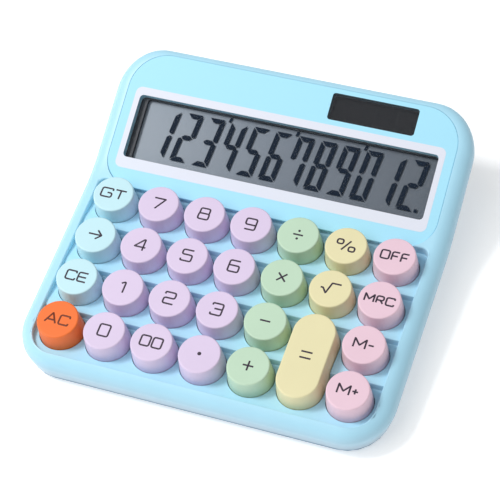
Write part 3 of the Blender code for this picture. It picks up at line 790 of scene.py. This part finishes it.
def make_digits():
    ink = moulded("lcd_segment", rgb(30, 42, 58), 0.6, grain=0.001 * MM, grain_size=0.5 * MM, gleam=0.05)
    shapes = segment_shapes()
    for number, figure in enumerate("123456789012", start=1):
        outlines = [[(x + y * DIGIT_SLANT, y) for x, y in shapes[bar]] for bar in LIT[figure]]
        digit = flat_shape(f"lcd_digit_{number}", outlines, DIGIT_THICKNESS)
        lay(digit, Matrix.Translation((digit_place(number), DIGIT_MIDDLE, DIGIT_LEVEL)))
        settle(lay(digit, DISPLAY), "case", ink, "lcd_glass")

    tick = [(1.0 * MM, 30.9 * MM), (1.9 * MM, 30.9 * MM), (2.5 * MM, 32.9 * MM), (1.5 * MM, 32.9 * MM)]
    marks = [[(digit_place(number + 0.5) + x, y) for x, y in tick] for number in (3, 6, 9)]
    point = [(56.7 * MM, 10.9 * MM), (57.9 * MM, 10.9 * MM), (58.05 * MM, 12.2 * MM), (56.85 * MM, 12.2 * MM)]
    piece = flat_shape("lcd_marks", [*marks, point], DIGIT_THICKNESS)
    lay(piece, Matrix.Translation((0, 0, DIGIT_LEVEL)))
    settle(lay(piece, DISPLAY), "case", ink, "lcd_glass")


# ---- keys ----------------------------------------------------------------------------------------
KEY_FACE, KEY_SKIRT = 8.0 * MM, 8.7 * MM  # radii
FLARE_LOW, CATCH_TOP, KEY_LOW = -8 * MM, -11.8 * MM, -12.6 * MM
KEY_WALL = 1.2 * MM
HOLLOW_HEIGHT, HOLLOW_TAPER = 11 * MM, 7.0 / 7.5
PLUNGER_GAP = 4.9 * MM
CATCH_LENGTH = 1.4 * MM


def scale_ring(factor):
    bpy.ops.transform.resize(value=(factor, factor, 1))


def draw_out(x, y, z):
    """Extrudes the chosen faces by this much."""
    bpy.ops.mesh.extrude_region_move(TRANSFORM_OT_translate={"value": (x, y, z)})


def key_pattern():
    """A round key cap: face, flared skirt, hollow underside with its plunger, and two catches."""
    piece = drum("key_pattern", KEY_FACE, FLARE_LOW, 0, 64)
    open_mesh(piece)
    choose(piece, "FACE", lambda f: f.normal.z < -0.9)
    scale_ring(KEY_SKIRT / KEY_FACE)
    draw_out(0, 0, CATCH_TOP - FLARE_LOW)
    draw_out(0, 0, KEY_LOW - CATCH_TOP)
    bpy.ops.mesh.inset(thickness=KEY_WALL)
    draw_out(0, 0, HOLLOW_HEIGHT)
    scale_ring(HOLLOW_TAPER)
    bpy.ops.mesh.inset(thickness=PLUNGER_GAP)
    draw_out(0, 0, -HOLLOW_HEIGHT)
    for turn in (45, 225):
        way = Vector((math.cos(math.radians(turn)), math.sin(math.radians(turn))))

        def catch_face(f):
            middle = f.calc_center_median()
            out = Vector((middle.x, middle.y))
            low = abs(f.normal.z) < 0.1 and middle.z < -12 * MM
            return low and out.length > 8.5 * MM and out.dot(way) > 8.55 * MM

        choose(piece, "FACE", catch_face)
        draw_out(way.x * CATCH_LENGTH, way.y * CATCH_LENGTH, 0)
    close_mesh()
    soften(piece, at_height(0), 0.55 * MM, 5)
    return piece


# Legends: each glyph is its width and height in millimetres and the strokes inside a unit square.
ROUND_BOX = [(0, 0), (1, 0), (1, 1), (0, 1), "loop"]
BAR = [(0, 0), (1, 0)]
CROSS = [[(0, 0.5), (1, 0.5)], [(0.5, 0), (0.5, 1)]]
GLYPHS = {
    "0": (4.2, 4.9, [ROUND_BOX]),
    "1": (1.9, 4.9, [[(0, 0.8), (0.85, 1), (0.85, 0)]]),
    "2": (4.2, 4.9, [[(0, 0.8), (0, 1), (1, 1), (1, 0.5), (0, 0.5), (0, 0), (1, 0)]]),
    "3": (4.2, 4.9, [[(0, 0.82), (0, 1), (1, 1), (1, 0), (0, 0), (0, 0.18)], [(0.25, 0.53), (0.98, 0.53)]]),
    "4": (4.5, 4.9, [[(0.78, 0), (0.78, 1), (0.68, 1), (0, 0.3), (1, 0.3)]]),
    "5": (4.2, 4.9, [[(1, 1), (0, 1), (0, 0.57), (1, 0.57), (1, 0), (0, 0), (0, 0.18)]]),
    "6": (4.2, 4.9, [[(0.95, 1), (0, 1), (0, 0), (1, 0), (1, 0.56), (0, 0.56)]]),
    "7": (4.6, 4.8, [[(0, 1), (1, 1), (0.32, 0)]]),
    "8": (4.2, 4.9, [
        [(0, 0), (1, 0), (1, 0.53), (0, 0.53), "loop"], [(0.05, 0.53), (0.05, 1), (0.95, 1), (0.95, 0.53)],
    ]),
    "9": (4.2, 4.9, [[(0.05, 0), (1, 0), (1, 1), (0, 1), (0, 0.44), (1, 0.44)]]),
    "O": (3.2, 3.6, [ROUND_BOX]),
    "F": (2.6, 3.6, [[(1, 1), (0, 1), (0, 0)], [(0, 0.5), (0.85, 0.5)]]),
    "G": (4.4, 4.0, [[(1, 0.78), (1, 1), (0, 1), (0, 0), (1, 0), (1, 0.5), (0.55, 0.5)]]),
    "T": (4.4, 4.0, [[(0, 1), (1, 1)], [(0.5, 1), (0.5, 0)]]),
    "C": (3.8, 3.9, [[(1, 0.78), (1, 1), (0, 1), (0, 0), (1, 0), (1, 0.22)]]),
    "E": (3.6, 3.9, [[(1, 1), (0, 1), (0, 0), (1, 0)], [(0, 0.5), (0.92, 0.5)]]),
    "A": (4.4, 4.2, [[(0, 0), (0.5, 1), (1, 0)], [(0.2, 0.3), (0.8, 0.3)]]),
    "M": (4.4, 3.8, [[(0, 0), (0, 1), (0.5, 0.3), (1, 1), (1, 0)]]),
    "R": (3.3, 3.6, [[(0, 0), (0, 1), (1, 1), (1, 0.42), (0, 0.42)], [(0.55, 0.42), (1, 0)]]),
    "minus": (4.0, 0, [BAR]),
    "plus": (4.1, 4.1, CROSS),
    "multiply": (3.4, 3.4, [[(0, 0), (1, 1)], [(0, 1), (1, 0)]]),
    "root": (7.4, 4.6, [[(0, 0.45), (0.13, 0.45), (0.33, 0), (0.52, 1), (1, 1)]]),
    "arrow": (5.3, 4.0, [[(0, 0.5), (1, 0.5)], [(0.6, 1), (1, 0.5), (0.6, 0)]]),
    "percent": (7.4, 4.5, [
        [(0, 0.56), (0.32, 0.56), (0.32, 1), (0, 1), "loop"],
        [(0.68, 0), (1, 0), (1, 0.44), (0.68, 0.44), "loop"],
        [(0.32, 0), (0.7, 1)],
    ]),
    "equals": (4.3, 2.5, [BAR, [(0, 1), (1, 1)]]),
    "bar": (3.9, 0, [BAR]),
    "small_minus": (2.0, 0, [BAR]),
    "small_plus": (2.1, 2.1, CROSS),
}
LEGENDS = {  # keys that show anything but the one glyph of their own name
    "gt": ("G", "T"), "off": ("O", "F", "F"), "ce": ("C", "E"), "ac": ("A", "C"), "mrc": ("M", "R", "C"),
    "00": ("0", "0"), "m_minus": ("M", "small_minus"), "m_plus": ("M", "small_plus"), "shift": ("arrow",),
    "divide": ("bar",), "point": (),
}
LEGEND_SCALE = {"00": (0.88, 0.86), "mrc": (0.79, 0.83)}
LETTER_GAP = 1.05
LEGEND_DOTS = {"divide": [(0, 1.75, 0.5), (0, -1.75, 0.5)], "point": [(0, 0, 0.75)]}  # place and radius
SHARP = ("A", "M", "7", "4", "root", "arrow")  # glyphs with nearly square corners
SHARP_CORNER, ROUND_CORNER = 0.2, 0.8
INK_WIDTH = 0.7 * MM
INK_HEIGHT = 0.09  # as a part of its width


def eased(points, radius):
    """A stroke with its corners turned into short arcs, and whether it is closed."""
    closed = points[-1] == "loop"
    corners = [Vector(p) for p in (points[:-1] if closed else points)]
    count = len(corners)
    path = []
    for i, corner in enumerate(corners):
        if not closed and i in (0, count - 1):
            path.append(corner)
            continue
        before, after = corners[i - 1] - corner, corners[(i + 1) % count] - corner
        reach = min(radius, before.length * 0.48, after.length * 0.48)
        start, end = corner + before.normalized() * reach, corner + after.normalized() * reach
        for quarter in range(5):
            t = quarter / 4
            path.append(start * (1 - t) ** 2 + corner * 2 * t * (1 - t) + end * t ** 2)
    return path, closed


def inked(name, strokes, dots):
    """Strokes of ink as slightly raised lines, in millimetres round the middle of a key."""
    curve = bpy.data.curves.new(name, "CURVE")
    curve.dimensions = "3D"
    curve.bevel_depth = INK_WIDTH / 2
    curve.bevel_resolution = 1
    curve.use_fill_caps = True
    for stroke, corner in strokes:
        path, closed = eased(stroke, corner)
        add_line(curve, [(point.x * MM, point.y * MM) for point in path], closed)
    pieces = [curve_mesh(name, curve)] if strokes else []
    for x, y, radius in dots:
        pieces.append(drum("dot", radius * MM, -INK_WIDTH / 2, INK_WIDTH / 2, 20, x * MM, y * MM))
    return lay(join(name, pieces), Matrix.Diagonal((1, 1, INK_HEIGHT, 1)))


def legend(name):
    """The printed legend of a key, round the middle of its face."""
    letters = LEGENDS.get(name, (name,))
    wide, tall = LEGEND_SCALE.get(name, (1, 1))
    total = sum(GLYPHS[letter][0] * wide for letter in letters) + LETTER_GAP * max(0, len(letters) - 1)
    x = -total / 2
    strokes = []
    for letter in letters:
        width, height, lines = GLYPHS[letter]
        width, height = width * wide, height * tall
        corner = SHARP_CORNER if letter in SHARP else ROUND_CORNER
        for line in lines:
            placed = [p if p == "loop" else (x + p[0] * width, (p[1] - 0.5) * height) for p in line]
            strokes.append((placed, corner))
        x += width + LETTER_GAP
    return inked(f"legend_{name}", strokes, LEGEND_DOTS.get(name, []))


def make_keys():
    ink = moulded("dark_ink", rgb(58, 46, 62), 0.4, grain=0.001 * MM, grain_size=0.4 * MM)
    brown = moulded("brown_ink", rgb(112, 48, 24), 0.4, grain=0.001 * MM, grain_size=0.4 * MM)
    pattern = key_pattern()
    for name, x, y in key_places():
        key = twin(pattern, f"keycap_{name}")
        if name == "equals":
            stretch(key, PITCH_Y / 2)
        shade(key, 40)
        spot = KEYBOARD @ Matrix.Translation((x, y, 0))
        family = KEY_FAMILY.get(name, "lilac")
        settle(lay(key, spot), f"button_{name}", key_plastic[family], f"key_{family}", f"key_{name}")
        mark = legend(name)
        settle(lay(mark, spot), f"button_{name}", brown if name == "ac" else ink, f"key_{family}")
    bpy.data.objects.remove(pattern)


# ---- CAD nodes that keep their shape -------------------------------------------------------------
def dress(finish, *names):
    """Gives CAD nodes a better material."""
    for name in names:
        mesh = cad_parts[name].data
        if not mesh.materials:
            mesh.materials.append(finish)
        for i in range(len(mesh.materials)):
            mesh.materials[i] = finish


def board_finish():
    """Green lacquer over copper traces."""
    finish = Finish("green_board", IOR=1.5)
    spot = finish.place(KEYBOARD)
    x, y, _ = finish.axes(spot)
    wander = finish.noise(spot, 6 * MM)
    along = ((x + wander * (4 * MM)).wrapped(1.2 * MM) < 0.35 * MM) * (wander > 0.48)
    across = (y.wrapped(2.1 * MM) < 0.3 * MM) * (wander < 0.42)
    traces = along.larger(across)
    finish.colour(finish.blend(traces, rgb(22, 92, 52), rgb(46, 132, 76)))
    finish.roughness(0.3 + 0.1 * wander)
    finish.relief(traces, 0.03 * MM)
    return finish.material


def sleeve_finish():
    """Printed battery sleeve: dark, with a brass-coloured end."""
    finish = Finish("cell_sleeve", IOR=1.5, Metallic=0.3)
    spot = finish.place()
    x, _, _ = finish.axes(spot)
    speck = finish.noise(spot, 0.6 * MM)
    finish.colour(finish.blend(x > 8 * MM, rgb(36, 40, 48), rgb(196, 150, 62)))
    finish.roughness(0.25 + 0.12 * speck)
    finish.relief(speck, 0.01 * MM)
    return finish.material


def metal_finish(name, colour, rough):
    """Plated sheet metal with fine drawing lines."""
    finish = Finish(name, Metallic=1.0)
    spot = finish.place()
    stretched = finish.node("ShaderNodeMapping", None, {"Vector": spot, "Scale": (1, 1, 14)})
    lines = finish.noise(stretched.outputs[0], 1.2 * MM, 4.0)
    finish.colour(finish.blend(lines, shift_colour(colour, 0.9), shift_colour(colour, 1.05)))
    finish.roughness(rough - 0.05 + 0.12 * lines)
    finish.relief(lines, 0.01 * MM)
    return finish.material


def solar_finish():
    """Dark amorphous cell divided into strips by thin lines."""
    finish = Finish("solar_cell_glass", IOR=1.5)
    spot = finish.place(DISPLAY)
    x, _, _ = finish.axes(spot)
    cloud = finish.noise(spot, 6 * MM)
    line = abs(x - (SOLAR[0] + SOLAR[2]) / 2).wrapped(4.4 * MM) < 0.12 * MM
    base = finish.blend(cloud, rgb(34, 34, 42), rgb(46, 44, 52))
    finish.colour(finish.blend(line * 0.5, base, rgb(110, 110, 118)))
    finish.roughness(0.12 + 0.08 * cloud)
    return finish.material


def ribbon_finish():
    """Amber film with fine conductors along it."""
    finish = Finish("ribbon_film", IOR=1.5)
    spot = finish.place()
    x, _, _ = finish.axes(spot)
    cloud = finish.noise(spot, 5 * MM)
    line = x.wrapped(0.5 * MM) < 0.2 * MM
    finish.colour(finish.blend(line, rgb(196, 140, 62), rgb(120, 78, 36)))
    finish.roughness(0.3 + 0.1 * cloud)
    finish.relief(line, 0.02 * MM)
    return finish.material


def make_inside():
    # The bottom case and battery door take the case finish with its painted shade, which turns them grey blue
    # all over.
    dress(case_plastic, "bottom_case", "battery_door")
    dress(board_finish(), "main_board")
    resin = moulded("chip_resin", rgb(22, 22, 24), 0.3, grain=0.05 * MM, grain_size=1.5 * MM)
    dress(resin, "controller_chip")
    silicone = moulded("mat_silicone", rgb(216, 220, 222), 0.65, grain=0.02 * MM, grain_size=0.5 * MM)
    dress(silicone, "rubber_dome_mat")
    dress(sleeve_finish(), "battery_cell")
    steel = metal_finish("plated_steel", rgb(196, 198, 202), 0.3)
    dress(steel, "battery_contact_positive", "battery_contact_negative")
    dress(steel, *(f"case_screw_{number}" for number in range(1, 7)))
    leads = (("red_lead", "positive", rgb(178, 34, 30)), ("black_lead", "negative", rgb(34, 34, 36)))
    for name, sign, colour in leads:
        dress(moulded(name, colour, 0.4, grain=0.01 * MM), f"solar_lead_{sign}", f"battery_lead_{sign}")
    dress(moulded("holder_plastic", rgb(214, 216, 218), 0.5), "lcd_holder")
    dress(solar_finish(), "solar_cell")
    dress(ribbon_finish(), "lcd_ribbon")
    rubber = moulded("foot_rubber", rgb(40, 40, 42), 0.8, grain=0.05 * MM, grain_size=0.4 * MM)
    dress(rubber, "foot_front_left", "foot_front_right", "foot_rear_left", "foot_rear_right")


# ---- stage ---------------------------------------------------------------------------------------
def make_stage():
    clear_selection()
    bpy.ops.mesh.primitive_plane_add(size=6)
    floor = bpy.context.object
    floor.name = "floor"
    finish = Finish(
        "pale_floor", IOR=1.3, Specular_IOR_Level=0.0, Emission_Color=(1, 1, 1, 1), Emission_Strength=0.35
    )
    cloud = finish.noise(finish.place(), 0.5)
    finish.colour(finish.blend(cloud, (0.93, 0.93, 0.93), (0.95, 0.95, 0.95)))
    finish.roughness(0.9 + 0.05 * cloud)
    floor.data.materials.append(finish.material)


def add_area(name, way, distance, size, power):
    """A square white light that looks at the object from a direction."""
    lamp = bpy.data.lights.new(name, "AREA")
    lamp.energy = power
    lamp.size = size
    light = bpy.data.objects.new(name, lamp)
    way = Vector(way).normalized()
    light.location = way * distance
    light.rotation_euler = way.to_track_quat("Z", "Y").to_euler()
    bpy.context.scene.collection.objects.link(light)


def make_light():
    world = bpy.data.worlds.new("studio")
    world.use_nodes = True
    background = world.node_tree.nodes["Background"]
    background.inputs["Color"].default_value = (1, 1, 1, 1)
    background.inputs["Strength"].default_value = 0.37
    bpy.context.scene.world = world
    add_area("window_light", way=(-0.60, -0.12, 0.99), distance=1.3, size=0.28, power=8.0)
    add_area("soft_box", way=(-0.40, -0.40, 1.0), distance=1.8, size=1.6, power=11.5)
    bpy.context.scene.view_settings.view_transform = "Standard"


def make_camera():
    """The camera stands in the keyboard frame: its bearing, its height over the keys and its roll."""
    bearing, lift, roll = math.radians(30.47), math.radians(56.95), math.radians(-13.47)
    back = Vector((math.sin(bearing) * math.cos(lift), -math.cos(bearing) * math.cos(lift), math.sin(lift)))
    right = Vector((math.cos(bearing), math.sin(bearing), 0))
    up = back.cross(right)
    rolled_right = math.cos(roll) * right + math.sin(roll) * up
    rolled_up = math.cos(roll) * up - math.sin(roll) * right
    stand = Matrix((rolled_right, rolled_up, back)).transposed().to_4x4()
    stand.translation = Vector((0.19388, -0.27650, 0.57707))
    lens = bpy.data.cameras.new("camera")
    lens.lens = 131.26
    lens.sensor_width = 36
    lens.clip_start = 0.01
    camera = bpy.data.objects.new("camera", lens)
    bpy.context.scene.collection.objects.link(camera)
    camera.matrix_world = KEYBOARD @ stand
    bpy.context.scene.camera = camera


case_shell()
make_display()
make_keys()
make_inside()
make_stage()
make_light()
make_camera()
